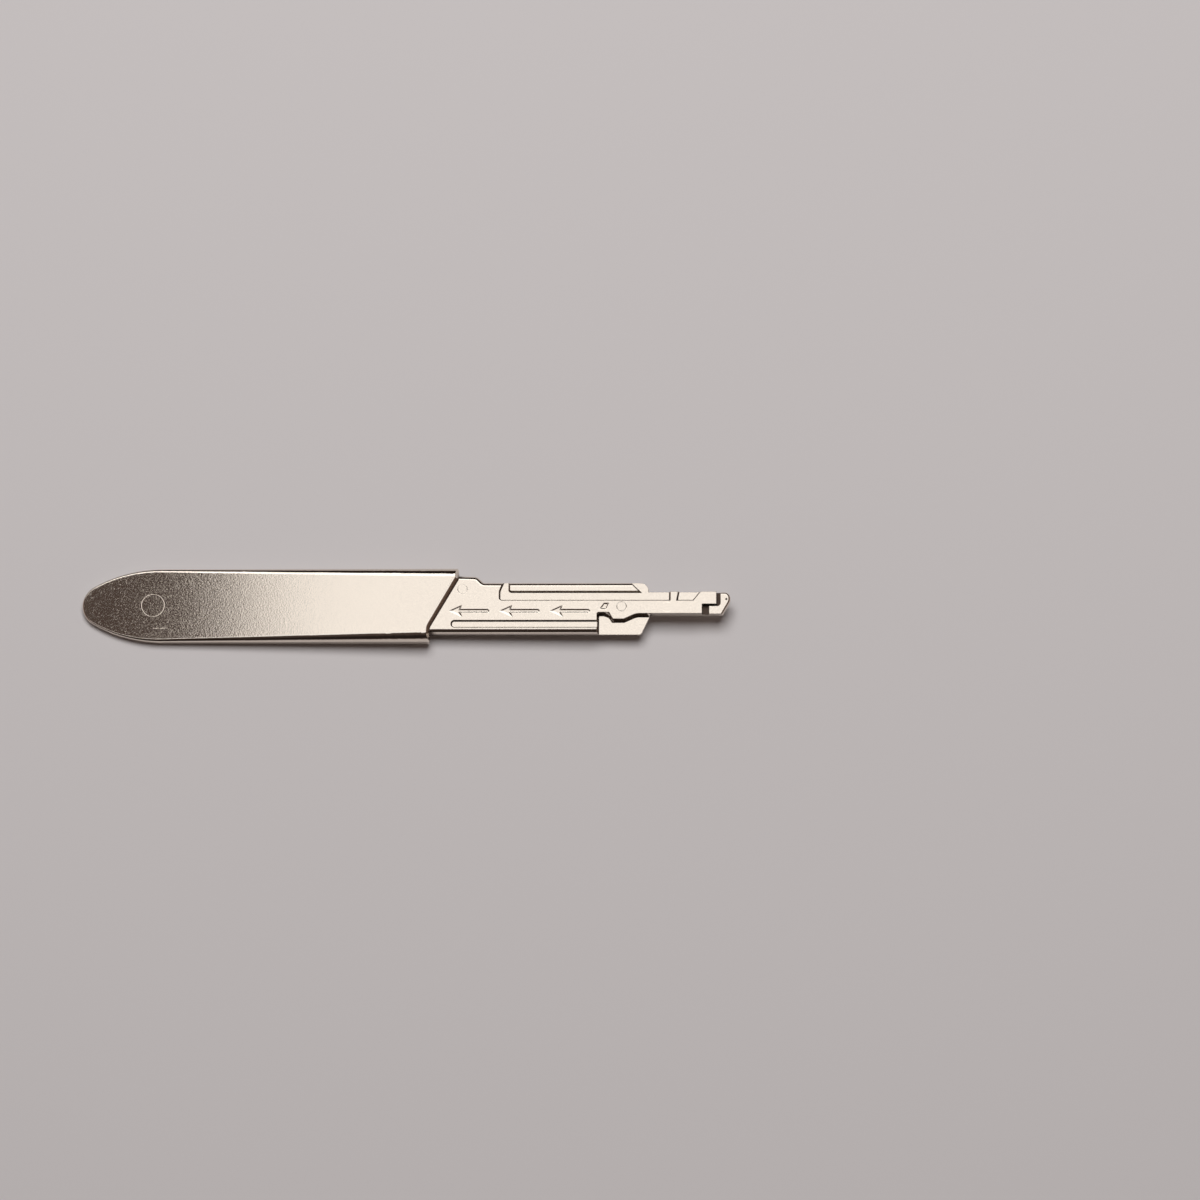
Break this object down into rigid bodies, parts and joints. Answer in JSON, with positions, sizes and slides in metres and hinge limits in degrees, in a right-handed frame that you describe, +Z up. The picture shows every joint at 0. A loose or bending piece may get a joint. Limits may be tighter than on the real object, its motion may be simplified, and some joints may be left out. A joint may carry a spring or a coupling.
{
  "type": "scalpel handle",
  "caption": "Flat steel scalpel handle: a wedge-shaped rounded grip, a stepped neck with a groove and a blade recess, and a blade fitting with a stepped locking channel.",
  "frame": {"origin": "centre of the handle's bounding box on the surface that the grip's lower face lies on", "axes": "+X from the tail to the blade end, +Y across the handle to the rail's side, +Z up out of the face with the blade fitting"},
  "size_m": [0.13, 0.0152, 0.0056],
  "materials": {
    "polished_steel": "polished and slightly warm, with a fine cast grain"
  },
  "bodies": {
    "root": {"scalpel_handle": "polished_steel"}
  },
  "joints": []
}
